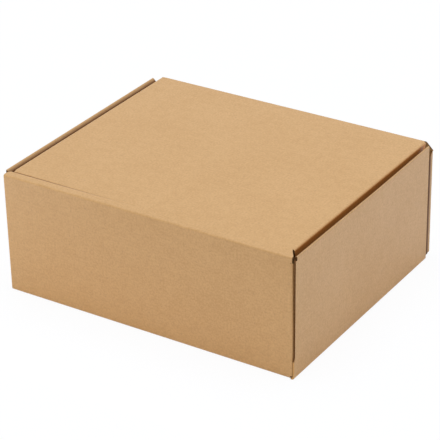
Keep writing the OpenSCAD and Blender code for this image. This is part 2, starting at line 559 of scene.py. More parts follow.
def add_piece(name: str, bm: bmesh.types.BMesh, materials: Sequence[bpy.types.Material]) -> Piece:
    """Makes an object from a mesh, smooth apart from its sharp edges.

    Args:
        name: name of the piece.
        bm: its mesh, which is freed.
        materials: its materials by index.

    Returns:
        The new object, at the origin.
    """
    mesh = bpy.data.meshes.new(name)
    bm.to_mesh(mesh)
    bm.free()
    for material in materials:
        mesh.materials.append(material)
    mesh.polygons.foreach_set("use_smooth", [True] * len(mesh.polygons))
    mesh.set_sharp_from_angle(angle=SHARP_ANGLE)
    piece = bpy.data.objects.new(name, mesh)
    bpy.context.scene.collection.objects.link(piece)
    LOG.info("%s: %d faces", name, len(mesh.polygons))
    return piece


@dataclass
class FluteRibbons:
    """The fluted medium, seen where an edge is cut across the flutes."""

    board: Board
    outer_gap: float = 0.06
    least_slope: float = 0.35
    shortest: float = 0.6

    def build(self, edges: Iterable[CutEdge], placer: Placer) -> bmesh.types.BMesh:
        """Lays a wavy ribbon along each cut edge that crosses the flutes.

        Args:
            edges: start, end and inward direction of each cut edge of the flat sheet.
            placer: carries a flat point to its folded place.

        Returns:
            One mesh with all the ribbons, folded.
        """
        bm = bmesh.new()
        for a, b, inward in edges:
            along = b - a
            if abs(along.x) > self.least_slope * along.length and along.length > self.shortest:
                self.add_strip(bm, a, along, inward)
        made = bmesh.ops.extrude_face_region(bm, geom=bm.faces[:])
        raised = [g for g in made["geom"] if isinstance(g, bmesh.types.BMVert)]
        bmesh.ops.translate(bm, verts=raised, vec=(0, 0, self.board.medium))
        bmesh.ops.recalc_face_normals(bm, faces=bm.faces)
        fold_mesh(bm, placer)
        return bm

    def add_strip(self, bm: bmesh.types.BMesh, start: Vector, along: Vector, inward: Vector) -> None:
        """Adds the wavy strip of one edge, still flat and without thickness.

        Args:
            bm: the mesh that takes it.
            start: start of the edge.
            along: the way from its start to its end.
            inward: direction into the sheet.
        """
        board = self.board
        steps = max(1, math.ceil(abs(along.x) * board.flute_steps / board.flute_pitch))
        depth = board.cut_recess - self.outer_gap
        middle = start + along / 2 + inward * (self.outer_gap + depth / 2)
        place = Matrix.Identity(4)
        place.col[0] = (*along, 0)
        place.col[1] = (*(inward * depth), 0)
        place.col[3] = (*middle, 1)
        made = bmesh.ops.create_grid(bm, x_segments=steps, y_segments=1, size=0.5, matrix=place)
        swing = board.core_half - board.medium / 2
        for vert in made["verts"]:
            wave = math.sin(2 * math.pi * vert.co.x / board.flute_pitch)
            vert.co.z = swing * wave - board.medium / 2


@dataclass
class FoldedPart(ABC):
    """A part of the box that is cut out flat and then folded, in millimetres."""

    plan: MailerPlan
    finishes: Finishes

    @abstractmethod
    def place(self, u: float, v: float, w: float) -> Vector:
        """Carries a flat point to its folded place."""

    def board_piece(self, sheet: FlatSheet, name: str, v_sign: float) -> Piece:
        """Makes a cut sheet thick, maps and folds it and adds it as a piece.

        Args:
            sheet: the sheet, cut out flat.
            name: name of the piece.
            v_sign: -1 where v runs against the lid's direction.

        Returns:
            The piece.
        """
        sheet.thicken()
        sheet.map_flat(v_sign)
        fold_mesh(sheet.mesh, self.place)
        return add_piece(name, sheet.mesh, [self.finishes.liner, self.finishes.edge])

    def fold_up(self, sheet: FlatSheet, body: Body, v_sign: float) -> tuple[Piece, Piece]:
        """Makes the folded sheet of one body and the flutes in its cut edges.

        Args:
            sheet: the sheet, cut out flat.
            body: the body.
            v_sign: -1 where v runs against the lid's direction.

        Returns:
            The board and the flutes.
        """
        edges = sheet.cut_edges()
        board = self.board_piece(sheet, f"{body.value}_board", v_sign)
        flutes = FluteRibbons(self.plan.board).build(edges, self.place)
        return board, add_piece(f"{body.value}_flutes", flutes, [self.finishes.edge])


@dataclass
class Tray(FoldedPart):
    """Strip, hinge wall, base, front wall, corner flaps and rolled side walls, as one sheet.

    Setbacks are distances behind the hinge wall's outer face. Zones limit what a trim may cut,
    and trim lines run on by over past a fold or an edge.
    """

    flap_reach: float = 58.0
    flap_foot: float = 2.6
    flap_slope: float = 16.0
    shoulder_room: float = 0.5
    flap_headroom: float = 1.5
    fold_headroom: float = 3.0
    front_drop: float = 2.5
    front_corner: float = 6.0
    roll_drop: float = 0.1
    roll_slope: float = 44.0
    pinch_height: float = 10.0
    shoulder_height: float = 10.0
    near_setback: float = 1.2
    foot_setback: float = 0.05
    foot_height: float = 14.5
    slit_height: float = 18.0
    far_setback: float = 10.2
    left_foot_setback: float = 4.4
    left_top_setback: float = 4.8
    right_roll_setback: float = 3.2
    right_inner_setback: float = 5.5
    left_roll_setback: float = 4.8
    left_inner_setback: float = 7.5
    left_roll_run: float = 4.2
    right_tuck: float = 1.0
    left_tuck: float = 0.6
    tab_length: float = 30.0
    tab_offset: float = 48.0
    tab_clear: float = 0.2
    tab_recess: float = 0.3
    end_zone: float = 115.0
    flap_zone: float = 20.0
    corner_zone: float = 80.0
    over: float = 1.0

    def __post_init__(self) -> None:
        """Lays out the three fold lines and the positions along them."""
        p = self.plan
        t, b = p.board.half, p.board.thickness
        front_top = p.height - self.front_drop
        self.long = FoldLine(
            [(p.crease, p.top_mid), (p.near + t, p.top_mid), (p.near + t, t), (p.far - t, t),
             (p.far - t, front_top)],
            [p.top_bend, p.long_bend, p.long_bend], NormalSide.RIGHT, t,
        )
        slope = math.radians(self.roll_slope)
        radius = p.roll_bend.outer
        roll_z = p.height - self.roll_drop - radius - (t - radius) * math.tan(math.pi / 4 + slope / 2)
        roll_x = p.side_mid + p.side_lean
        inner_x = p.wall_end - b - p.layer_gap - t
        pinched_x = roll_x - b - p.layer_gap
        pinch_foot = roll_z - self.pinch_height
        shoulder_foot = pinch_foot - self.shoulder_height
        self.side = FoldLine(
            [(0, t), (p.side_mid, t), (roll_x, roll_z),
             (pinched_x, roll_z - (roll_x - pinched_x) * math.tan(slope)),
             (pinched_x, pinch_foot), (inner_x, shoulder_foot), (inner_x, b + p.layer_gap)],
            [p.long_bend, p.roll_bend, p.tight_bend, p.easy_bend, p.easy_bend], NormalSide.RIGHT, t,
        )
        corner = [(0, 0), (p.wall_end - t, 0), (p.wall_end - t, self.flap_reach - t)]
        self.corner = FoldLine(corner, [p.tight_bend], NormalSide.RIGHT, t)
        self.sharp_corner = FoldLine(corner, [p.roll_bend], NormalSide.RIGHT, t)
        self.foot_v, self.toe_v = self.long.folds[1].s, self.long.folds[2].s
        self.fold_u = self.corner.panel(0)[1]
        self.roll_u = self.side.panel(1)[1]
        self.inner_x = inner_x
        self.fold_top_near = p.height - p.long_bend.outer - self.fold_headroom
        self.front_top = front_top
        self.fold_top_far = front_top - self.front_corner
        self.flap_top = shoulder_foot - self.flap_headroom

    def hinge_at(self, z: float) -> float:
        """Flat v on the hinge wall at height z."""
        return self.foot_v - (z - self.plan.board.half)

    def base_at(self, y: float) -> float:
        """Flat v on the base at y."""
        return self.foot_v + y - self.plan.near - self.plan.board.half

    def front_at(self, z: float) -> float:
        """Flat v on the front wall at height z."""
        return self.toe_v + z - self.plan.board.half

    def flap_at(self, depth: float) -> float:
        """Flat u on a corner flap at a depth behind its wall's outer face."""
        return self.corner.folds[0].s + depth - self.plan.board.half

    def side_at(self, z: float) -> float:
        """Flat u on a side wall's outer panel at height z."""
        return self.side.folds[0].s + z - self.plan.board.half

    def strip_at(self, depth: float) -> float:
        """Flat v on the strip at a depth behind the hinge wall's face."""
        return self.plan.strip_depth - depth

    def place(self, u: float, v: float, w: float) -> Vector:
        """Carries a flat point of the tray to its folded place.

        Args:
            u: its distance from the middle of the sheet.
            v: its distance from the lid's crease.
            w: its distance from the board's middle plane.

        Returns:
            The place, in millimetres.
        """
        p = self.plan
        out, sign = abs(u), math.copysign(1.0, u)
        top = v < self.hinge_at(self.fold_top_near) - KERF / 2 or v > self.front_at(self.fold_top_far)
        if out <= self.fold_u + HAIR or top:
            point = self.long.at(v, w)
            return Vector((u, point.x, point.y))
        if self.foot_v - p.board.thickness <= v <= self.toe_v + p.board.thickness:
            point = self.side.at(out, w)
            y = p.near + p.board.half + v - self.foot_v
            tuck = self.right_tuck * smooth(y, 0, p.far) if u > 0 else self.left_tuck
            return Vector((sign * (point.x - tuck * point.y / p.height), y, point.y))
        point = self.corner.at(out, w)
        z = self.long.at(v, 0.0).y
        wall, towards = (p.near, 1) if v < self.foot_v else (p.far, -1)
        if u > 0 and v < self.foot_v:
            point = self.sharp_corner.at(out, w).lerp(point, smooth(z, self.foot_height, self.slit_height))
        return Vector((sign * point.x, wall + towards * (p.board.half + point.y), z))

    def blank(self) -> FlatSheet:
        """Cuts the tray's flat sheet.

        Returns:
            The sheet.
        """
        p = self.plan
        end_u, low, high = self.side.length, p.crease_half, self.long.length
        sheet = FlatSheet(p.board, joined=lambda u, v: v < low + HAIR, pressed=self.at_shut_foot)
        sheet.lay(end_u + p.board.thickness + p.layer_gap - self.tab_recess, low, high)
        slot = [self.inner_x + side * (p.board.half + self.tab_clear) for side in (-1, 1)]
        tab_ends = [y + side * (self.tab_length / 2 + extra)
                    for y in (-self.tab_offset, self.tab_offset)
                    for side in (-1, 1) for extra in (0.0, self.tab_clear)]
        fold_head, head_far = self.hinge_at(self.fold_top_near), self.front_at(self.fold_top_far)
        ear_foot = fold_head - KERF
        foot_near, foot_far = self.hinge_at(self.flap_foot), self.front_at(self.flap_foot)
        side_near, side_far = self.base_at(p.near + self.foot_setback), self.base_at(p.far - self.far_setback)
        slit_end = self.base_at(p.near + p.long_bend.outer)
        us = [*self.side.scores(p.fold_steps, p.fold_margin),
              *self.corner.scores(p.fold_steps, p.fold_margin), *spaced(0, end_u, p.cell), *slot,
              end_u, self.corner.length, self.fold_u, self.fold_u + KERF, p.wall_end, self.roll_u,
              self.fold_u - self.front_corner, self.side_at(self.foot_height)]
        vs = [*self.long.scores(p.fold_steps, p.fold_margin), *spaced(low, high, p.cell),
              *(self.base_at(y) for y in tab_ends), ear_foot, fold_head, foot_near, foot_far,
              side_near, side_far, head_far, slit_end, self.hinge_at(self.flap_top),
              self.front_at(self.flap_top)]
        sheet.score(us, vs)
        waste: tuple[Test, ...] = (
            lambda u, v: u > self.corner.length and (v < foot_near or v > foot_far),
            lambda u, v: u > p.wall_end and v < fold_head,
            lambda u, v: u > self.fold_u and (
                ear_foot < v < fold_head or foot_near < v < side_near or side_far < v < foot_far
                or v > head_far and u > p.wall_end),
            lambda u, v: self.fold_u < u < self.fold_u + KERF and side_near < v < slit_end,
            lambda u, v: u > end_u and not self.in_tab(v),
            lambda u, v: slot[0] < u < slot[1] and self.in_tab(v, self.tab_clear),
        )
        for half in Half:
            for unwanted in waste:
                sheet.drop_outside(half, unwanted)
        for half in Half:
            self.trim_walls(sheet, half)
        self.trim_sides(sheet)
        return sheet

    def in_tab(self, v: float, clear: float = 0.0) -> bool:
        """Whether v lies within a locking tab's length, or with a clearance within its slot's."""
        reach = self.tab_length / 2 + clear
        return any(abs(v - self.base_at(y)) < reach for y in (-self.tab_offset, self.tab_offset))

    def at_shut_foot(self, u: float, v: float) -> bool:
        """Whether a cut edge is the one that is pressed shut at the foot of the right slit."""
        return self.fold_u < u < self.side_at(self.foot_height) and abs(v - self.foot_v) < self.flap_foot

    def trim_walls(self, sheet: FlatSheet, half: Half) -> None:
        """Trims the slanted ends of the strip, the corner flaps and the front wall's top.

        Args:
            sheet: the tray's flat sheet.
            half: the half to trim.
        """
        p = self.plan
        shoulder = self.far_setback - self.shoulder_room
        strip = [(p.wall_end, self.strip_at(p.long_bend.outer)), (p.strip_tip, self.strip_at(p.strip_depth))]
        sheet.trim(half, strip, lambda u, v: u > self.end_zone and v < strip[0][1])
        for at, head, start, end in (
            (self.hinge_at, self.fold_top_near, p.tight_bend.outer, self.flap_slope),
            (self.front_at, self.fold_top_far, shoulder - p.board.thickness, shoulder),
        ):
            low, high = sorted((at(self.flap_top - self.flap_zone), at(head + self.over)))
            root, knee = (self.flap_at(start), at(head)), (self.flap_at(end), at(self.flap_top))
            tip = (self.corner.length + self.over, at(self.flap_top))
            for line in ([knee, tip], [root, knee]):
                sheet.trim(half, line, lambda u, v: u > line[0][0] and low < v < high)
        corner = [(p.wall_end - self.front_corner, self.front_at(self.front_top)),
                  (p.wall_end, self.front_at(self.fold_top_far))]
        sheet.trim(half, corner, lambda u, v: u > self.end_zone and v > self.front_at(self.corner_zone))

    def trim_sides(self, sheet: FlatSheet) -> None:
        """Trims the near ends of the side walls, from their outer panels over the rolls.

        A line holds over the whole range of u beside it, so the slant at the end of the left
        roll runs on over that wall's inner panel.

        Args:
            sheet: the tray's flat sheet.
        """
        foot, slit, roll = self.side_at(self.foot_height), self.side_at(self.slit_height), self.roll_u
        before, past, end = roll - self.over / 2, roll + self.over, self.side.length + 2 * self.over
        for half, low, high, line in (
            (Half.RIGHT, foot, slit, [(foot, self.foot_setback), (slit, self.near_setback)]),
            (Half.RIGHT, slit, end, [(slit, self.near_setback), (past, self.near_setback)]),
            (Half.LEFT, self.fold_u, end, [(self.fold_u, self.left_foot_setback),
                                           (past, self.left_top_setback)]),
            (Half.RIGHT, roll, end, [(before, self.right_roll_setback), (end, self.right_inner_setback)]),
            (Half.LEFT, roll, end, [(before, self.left_roll_setback),
                                    (roll + self.left_roll_run, self.left_inner_setback),
                                    (end, self.left_inner_setback)]),
        ):
            flat = [(u, self.base_at(self.plan.near + setback)) for u, setback in line]
            sheet.trim(half, flat, lambda u, v: low < u < high and v < self.base_at(0))

    def build(self) -> None:
        """Makes the folded sheet and the flutes in its cut edges."""
        board, ribbons = self.fold_up(self.blank(), Body.TRAY, -1.0)
        for piece in (board, ribbons):
            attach(piece, Body.TRAY.value)
        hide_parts(Body.TRAY.value)


@dataclass
class Lid(FoldedPart):
    """Lid panel, tuck flap and dust flaps, as one sheet from the crease forwards.

    Zones are the widths of what a trim may cut.
    """

    inset: float = 3.9
    near_root: float = 119.1
    near_zone: float = 12.0
    front_inset: float = 1.6
    front_depth: float = 1.0
    front_zone: float = 9.0
    tuck_clear: float = 2.05
    tuck_depth: float = 38.0
    tuck_angle: float = 6.0
    tuck_inset: float = 4.0
    tuck_inset_end: float = 12.0
    tuck_corner: float = 10.0
    tuck_steps: int = 8
    dust_depth: float = 42.0
    dust_near: float = 2.6
    dust_far: float = 2.4
    dust_taper: float = 9.0
    dust_corner: float = 7.0
    dust_steps: int = 6
    dust_zone: float = 35.0

    def __post_init__(self) -> None:
        """Lays out the two fold lines and the positions along them."""
        p = self.plan
        t = p.board.half
        far = p.far - p.board.thickness - self.tuck_clear
        angle = math.radians(self.tuck_angle)
        foot = (far - t - self.tuck_depth * math.sin(angle), p.top_mid - self.tuck_depth * math.cos(angle))
        self.long = FoldLine(
            [(p.crease, p.top_mid), (far - t, p.top_mid), foot], [p.tight_bend], NormalSide.LEFT, t
        )
        self.half = p.wall_end - self.inset
        self.dust = FoldLine(
            [(0, p.top_mid), (self.half - t, p.top_mid), (self.half - t, p.height - self.dust_depth)],
            [p.tight_bend], NormalSide.LEFT, t,
        )
        self.dust_u = self.dust.panel(0)[1]
        self.dust_v = (self.dust_near, far - self.dust_far - p.crease)
        self.front_v = self.long.panel(0)[1]

    def place(self, u: float, v: float, w: float) -> Vector:
        """Carries a flat point of the lid to its folded place.

        Args:
            u: its distance from the middle of the sheet.
            v: its distance from the crease.
            w: its distance from the board's middle plane.

        Returns:
            The place, in millimetres.
        """
        out, sign = abs(u), math.copysign(1.0, u)
        if out > self.dust_u + HAIR and self.dust_v[0] - HAIR <= v <= self.dust_v[1] + HAIR:
            point = self.dust.at(out, w)
            return Vector((sign * point.x, self.plan.crease + v, point.y))
        point = self.long.at(v, w)
        return Vector((u, point.x, point.y))

    def blank(self) -> FlatSheet:
        """Cuts the lid's flat sheet.

        Returns:
            The sheet.
        """
        p = self.plan
        low, high = p.crease_half, self.long.length
        start, end = self.dust_v
        tuck_v = self.front_v + KERF
        sheet = FlatSheet(p.board, joined=lambda u, v: v < low + HAIR)
        sheet.lay(self.dust.length, low, high)
        us = [*self.dust.scores(p.fold_steps, p.fold_margin), *spaced(0, self.dust.length, p.cell), self.half,
              self.dust_u]
        vs = [*self.long.scores(p.fold_steps, p.fold_margin), *spaced(low, high, p.cell),
              start - KERF, start, end, end + KERF, tuck_v]
        sheet.score(us, vs)
        root, foot = self.dust.panel(1)[0] + p.board.half, self.dust.length
        tuck = round_corner((self.half - self.tuck_inset, tuck_v), (self.half - self.tuck_inset_end, high),
                            (0.0, high), self.tuck_corner, self.tuck_steps)
        corner = [(self.half, self.front_v - self.front_depth), (self.half - self.front_inset, tuck_v)]
        for half in Half:
            sheet.drop_outside(half, lambda u, v: u > self.half and not start < v < end)
            sheet.drop_outside(half, lambda u, v: u > self.dust_u and (
                start - KERF < v < start or end < v < end + KERF))
            sheet.trim(half, tuck, lambda u, v: v > tuck_v)
            for a, turn in ((start, 1), (end, -1)):
                line = round_corner((root, a), (foot, a + turn * self.dust_taper), (foot, (start + end) / 2),
                                    self.dust_corner, self.dust_steps)
                sheet.trim(half, line, lambda u, v: u > root and abs(v - a) < self.dust_zone)
            sheet.trim(half, corner, lambda u, v: u > self.half - self.front_zone and end + KERF < v < tuck_v)
        near = [(p.crease_end, low), (self.near_root, start - KERF)]
        sheet.trim(Half.RIGHT, near, lambda u, v: u > self.half - self.near_zone and v < start - KERF)
        return sheet

    def build(self) -> None:
        """Makes the folded sheet and the flutes in its cut edges."""
        board, ribbons = self.fold_up(self.blank(), Body.LID, 1.0)
        for piece in (board, ribbons):
            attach(piece, Body.LID.value)
        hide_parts(Body.LID.value)


@dataclass
class Crease(FoldedPart):
    """The scored board between the strip and the lid, about which the lid turns; it is built flat and is not
    attached to either body.
    """

    groove_half: float = 0.9
    groove_deep: float = 0.45
    groove_faint: float = 0.04
    deep_until: float = -112.0
    faint_from: float = -5.0
    cell: float = 4.0
    end_zone: float = 112.0
    left_end_depth: float = 0.15

    def place(self, u: float, v: float, w: float) -> Vector:
        """Puts a flat point in its place, pressed down along the score.

        Args:
            u: its distance from the middle of the sheet.
            v: its distance from the score.
            w: its distance from the board's middle plane.

        Returns:
            The place, in millimetres.
        """
        p = self.plan
        press = max(0.0, 1 - abs(v) / self.groove_half)
        deep = 1 - smooth(u, self.deep_until, self.faint_from)
        depth = (self.groove_faint + (self.groove_deep - self.groove_faint) * deep) * press
        share = smooth(w, -p.board.half, p.board.half)
        return Vector((u, p.crease + v, p.top_mid + w - depth * share))

    def blank(self) -> FlatSheet:
        """Cuts the scored band, with its ends in line with the strip's and the lid's.

        Returns:
            The sheet.
        """
        p = self.plan
        reach = p.crease_half
        sheet = FlatSheet(p.board, joined=lambda u, v: abs(v) > reach - HAIR)
        sheet.lay(p.wall_end, -reach, reach)
        sheet.score([*spaced(0, p.wall_end, self.cell), p.crease_end],
                    [step * self.groove_half / 2 for step in range(-2, 3)])
        tip, end = (p.strip_tip, 0.0), p.crease_end
        slant = (p.wall_end - p.strip_tip) / (p.strip_depth - p.long_bend.outer)
        root = (p.strip_tip + slant * reach, -reach)
        for half, line, zone, before in (
            (Half.RIGHT, [root, tip], self.end_zone, True),
            (Half.RIGHT, [tip, (end, reach)], self.end_zone, False),
            (Half.LEFT, [root, tip], self.end_zone, True),
            (Half.LEFT, [tip, (end, self.left_end_depth)], end, False),
        ):
            sheet.trim(half, line, lambda u, v: u > zone and (v < 0) == before)
        return sheet

    def build(self) -> None:
        """Makes the scored band."""
        board = self.board_piece(self.blank(), "crease_board", 1.0)
        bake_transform(board)


def channel_to_linear(level: float) -> float:
    """Turns one sRGB channel from 0 to 255 into a linear one."""
    c = level / 255
    return c / 12.92 if c <= 0.04045 else ((c + 0.055) / 1.055) ** 2.4


def to_linear(colour: Colour) -> tuple[float, float, float, float]:
    """Turns an sRGB colour with channels from 0 to 255 into a linear one."""
    return (*(channel_to_linear(level) for level in colour), 1.0)


@dataclass
class NodeKit:
    """Short calls that place and link the nodes of one material, world or group."""

    tree: bpy.types.NodeTree

    def feed(self, socket: Socket, value: object) -> None:
        """Links a node's output to an input, or writes a plain value into it.

        Args:
            socket: the input.
            value: an output, or a plain value.
        """
        if isinstance(value, Socket):
            self.tree.links.new(value, socket)
        else:
            socket.default_value = value

    def add(self, kind: str, inputs: Inputs | None = None, **settings: object) -> bpy.types.Node:
        """Places a node, sets its properties and feeds its inputs.

        Args:
            kind: the node's type.
            inputs: outputs or plain values, by the name or number of the input that they feed.
            **settings: the node's properties.

        Returns:
            The node.
        """
        node = self.tree.nodes.new(kind)
        for key, value in settings.items():
            setattr(node, key, value)
        for key, value in (inputs or {}).items():
            self.feed(node.inputs[key], value)
        return node

    def math(self, operation: str, *values: object) -> Socket:
        """A sum, product or other operation on numbers."""
        return self.add("ShaderNodeMath", dict(enumerate(values)), operation=operation).outputs[0]

    def rise(self, value: object, low: float, high: float) -> Socket:
        """A smooth rise from 0 at low to 1 at high, or a fall where high is below low.

        Args:
            value: the number that is followed.
            low: where the result is 0.
            high: where the result is 1.

        Returns:
            The result.
        """
        down = high < low
        inputs = {"Value": value, "From Min": min(low, high), "From Max": max(low, high),
                  "To Min": float(down), "To Max": float(not down)}
        return self.add("ShaderNodeMapRange", inputs, interpolation_type="SMOOTHSTEP").outputs[0]

    def band(self, value: object, start: float, full: float, fade: float, end: float) -> Socket:
        """A smooth rise from 0 at start to 1 at full, and a smooth fall from fade to end."""
        return self.math("MULTIPLY", self.rise(value, start, full), self.rise(value, end, fade))

    def blend(self, share: object, a: object, b: object, mode: str = "MIX") -> Socket:
        """A mix of two colours."""
        inputs = dict(zip(COLOUR_INPUTS, (share, a, b)))
        return self.add("ShaderNodeMix", inputs, data_type="RGBA", blend_type=mode).outputs[COLOUR_OUTPUT]

    def mix(self, share: object, a: object, b: object) -> Socket:
        """A mix of two shaders."""
        return self.add("ShaderNodeMixShader", {0: share, 1: a, 2: b}).outputs[0]

    def noise(self, place: Socket, scale: float, detail: float) -> Socket:
        """A noise with about scale bumps in each metre."""
        inputs = {"Vector": place, "Scale": scale, "Detail": detail}
        return self.add("ShaderNodeTexNoise", inputs, noise_dimensions="2D").outputs["Fac"]

    def bump(self, height: Socket, distance: float) -> Socket:
        """A normal with the relief of a height, in metres."""
        return self.add("ShaderNodeBump", {"Distance": distance, "Height": height}).outputs[0]

    def flat_place(self) -> Socket:
        """The place on the flat sheet, in metres."""
        return self.add("ShaderNodeUVMap", uv_map=FLAT_MAP).outputs[0]

    def flat_parts(self) -> tuple[Socket, Socket]:
        """The place along and across the flat sheet, in metres."""
        parts = self.add("ShaderNodeSeparateXYZ", {0: self.flat_place()}).outputs
        return parts["X"], parts["Y"]


def new_material(name: str) -> tuple[bpy.types.Material, NodeKit, bpy.types.Node]:
    """Makes a material.

    Args:
        name: its name.
    """
    material = bpy.data.materials.new(name)
    material.use_nodes = True
    return material, NodeKit(material.node_tree), material.node_tree.nodes["Principled BSDF"]


@dataclass(frozen=True)
class PaperPattern:
    """Node group with the uneven tone, the flecks and the fine relief of brown paper.

    Scales are bumps in each metre of sheet, and each layer has its share of the tone and its
    detail. Fibres lie along u.
    """

    name: str = "paper_pattern"
    cloud_scale: float = 22.0
    mottle_scale: float = 150.0
    grain_scale: float = 650.0
    fibre_along: float = 70.0
    fibre_across: float = 700.0
    cloud_share: float = 0.4
    mottle_share: float = 0.5
    grain_share: float = 1.5
    fibre_share: float = 0.45
    soft_detail: float = 3.0
    fine_detail: float = 2.0
    fleck_scale: float = 420.0
    fleck_detail: float = 1.0
    fleck_level: float = 0.71
    fleck_edge: float = 0.08

    def build(self) -> bpy.types.NodeTree:
        """Makes the group with its inputs and outputs.

        Returns:
            The group, with Place and Contrast as inputs and Tone, Fleck and Height as outputs.
        """
        group = bpy.data.node_groups.new(self.name, "ShaderNodeTree")
        group.interface.new_socket("Place", in_out="INPUT", socket_type="NodeSocketVector")
        group.interface.new_socket("Contrast", in_out="INPUT", socket_type="NodeSocketFloat")
        for name in ("Tone", "Fleck", "Height"):
            group.interface.new_socket(name, in_out="OUTPUT", socket_type="NodeSocketFloat")
        kit = NodeKit(group)
        given = kit.add("NodeGroupInput").outputs
        place = given["Place"]
        fibre_scale = (self.fibre_along, self.fibre_across, 1.0)
        stretched = kit.add("ShaderNodeMapping", {"Vector": place, "Scale": fibre_scale})
        grain = kit.noise(place, self.grain_scale, self.fine_detail)
        fibres = kit.noise(stretched.outputs[0], 1.0, self.soft_detail)
        layers = (
            (kit.noise(place, self.cloud_scale, self.soft_detail), self.cloud_share),
            (kit.noise(place, self.mottle_scale, self.fine_detail), self.mottle_share),
            (grain, self.grain_share),
            (fibres, self.fibre_share),
        )
        uneven: Socket | float = -sum(share for _, share in layers) / 2
        for layer, share in layers:
            uneven = kit.math("ADD", uneven, kit.math("MULTIPLY", layer, share))
        tone = kit.math("ADD", kit.math("MULTIPLY", uneven, given["Contrast"]), 0.5)
        tone.node.use_clamp = True
        spots = kit.noise(place, self.fleck_scale, self.fleck_detail)
        fleck = kit.rise(spots, self.fleck_level, self.fleck_level + self.fleck_edge)
        kit.add("NodeGroupOutput", {"Tone": tone, "Fleck": fleck, "Height": kit.math("ADD", grain, fibres)})
        return group


@dataclass(frozen=True)
class FoldShade:
    """Painted shade: the paper is darker along the lid's crease and deep beside the lid, where shade falls.

    Distances are metres on the flat sheet. Each painted shade multiplies the paper's own colour.
    """

    roll_start: float
    # Painted shade of the groove along the lid's crease, deepest towards its left end.
    crease_half: float = 0.0008
    crease_core: float = 0.0002
    crease_deep: float = -0.125
    crease_end: float = 0.005
    crease_shade: Colour = (172, 150, 125)
    # Painted shade on the dust flaps' folds, deep in the gaps beside the lid.
    flap_start: float = 0.1202
    flap_full: float = 0.1214
    flap_fade: float = 0.125
    flap_end: float = 0.131
    flap_shade: Colour = (255, 208, 128)
    # Painted shade on the inner slopes of the side walls' rolls, from roll_start inwards, in the gaps beside
    # the lid.
    roll_full: float = 0.0028
    roll_fade: float = 0.007
    roll_end: float = 0.016
    roll_shade: Colour = (126, 95, 22)
    # Painted shade on the front wall's corner flaps, in the gap behind the side walls' ends.
    corner_start: float = 0.1252
    corner_full: float = 0.1295
    corner_end: float = 0.14
    corner_depth: float = -0.313
    corner_shade: Colour = (115, 84, 32)
    sheet_gap: float = 0.003

    def add(self, kit: NodeKit, paper: Socket) -> tuple[Socket, Socket]:
        """Adds the nodes that paint shade into a colour in these places.

        Args:
            kit: the material's nodes.
            paper: the colour of the plain paper.

        Returns:
            The colour with the painted shade, and a mask of where the paper is dull, from 0 to 1.
        """
        u, v = kit.flat_parts()
        out, away = kit.math("ABSOLUTE", u), kit.math("ABSOLUTE", v)
        on_lid = kit.math("GREATER_THAN", v, self.sheet_gap)
        on_tray = kit.math("LESS_THAN", v, -self.sheet_gap)
        at_front = kit.math("LESS_THAN", v, self.corner_depth)
        crease = kit.math("MULTIPLY", kit.rise(away, self.crease_half, self.crease_core),
                          kit.rise(u, self.crease_end, self.crease_deep))
        flap = kit.band(out, self.flap_start, self.flap_full, self.flap_fade, self.flap_end)
        roll_marks = (0.0, self.roll_full, self.roll_fade, self.roll_end)
        roll = kit.band(out, *(self.roll_start + mark for mark in roll_marks))
        corner = kit.math("MULTIPLY", kit.rise(out, self.corner_start, self.corner_full),
                          kit.math("LESS_THAN", out, self.corner_end))
        flap, roll = kit.math("MULTIPLY", flap, on_lid), kit.math("MULTIPLY", roll, on_tray)
        corner = kit.math("MULTIPLY", corner, at_front)
        # Paints the shade of the crease, the dust flaps, the rolls and the corner flaps into the paper's
        # colour.
        for mask, shade in ((flap, self.flap_shade), (crease, self.crease_shade),
                            (roll, self.roll_shade), (corner, self.corner_shade)):
            paper = kit.blend(mask, paper, to_linear(shade), "MULTIPLY")
        return paper, kit.math("MAXIMUM", kit.math("MAXIMUM", crease, roll), corner)


@dataclass(frozen=True)
class KraftLiner:
    """Matt brown kraft paper with faint clouds, fibres and flecks, and painted shade in its crease and
    grooves.
    """

    pattern: bpy.types.NodeTree
    shade: FoldShade
    light: Colour = (208, 161, 101)
    dark: Colour = (196, 149, 89)
    fleck: Colour = (192, 146, 89)
    contrast: float = 1.5
    roughness_dark: float = 0.5
    roughness_light: float = 0.4
    sheen: float = 0.05
    sheen_roughness: float = 0.5
    relief: float = 0.00004

    def build(self) -> bpy.types.Material:
        """Makes the material.

        Returns:
            The material.
        """
        material, kit, shader = new_material("kraft_liner")
        paper = kit.add("ShaderNodeGroup", node_tree=self.pattern)
        kit.feed(paper.inputs["Place"], kit.flat_place())
        kit.feed(paper.inputs["Contrast"], self.contrast)
        tone = paper.outputs["Tone"]
        plain = kit.blend(tone, to_linear(self.dark), to_linear(self.light))
        # Painted shade in the crease and the grooves is multiplied into the paper's colour here.
        colour, dull = self.shade.add(kit, kit.blend(paper.outputs["Fleck"], plain, to_linear(self.fleck)))
        smoothness = kit.add("ShaderNodeMapRange", {
            "Value": tone, "To Min": self.roughness_dark, "To Max": self.roughness_light})
        for name, value in (("Base Color", colour),
                            ("Roughness", kit.math("MAXIMUM", smoothness.outputs[0], dull)),
                            ("Normal", kit.bump(paper.outputs["Height"], self.relief)),
                            ("Sheen Weight", self.sheen), ("Sheen Roughness", self.sheen_roughness)):
            kit.feed(shader.inputs[name], value)
        return material


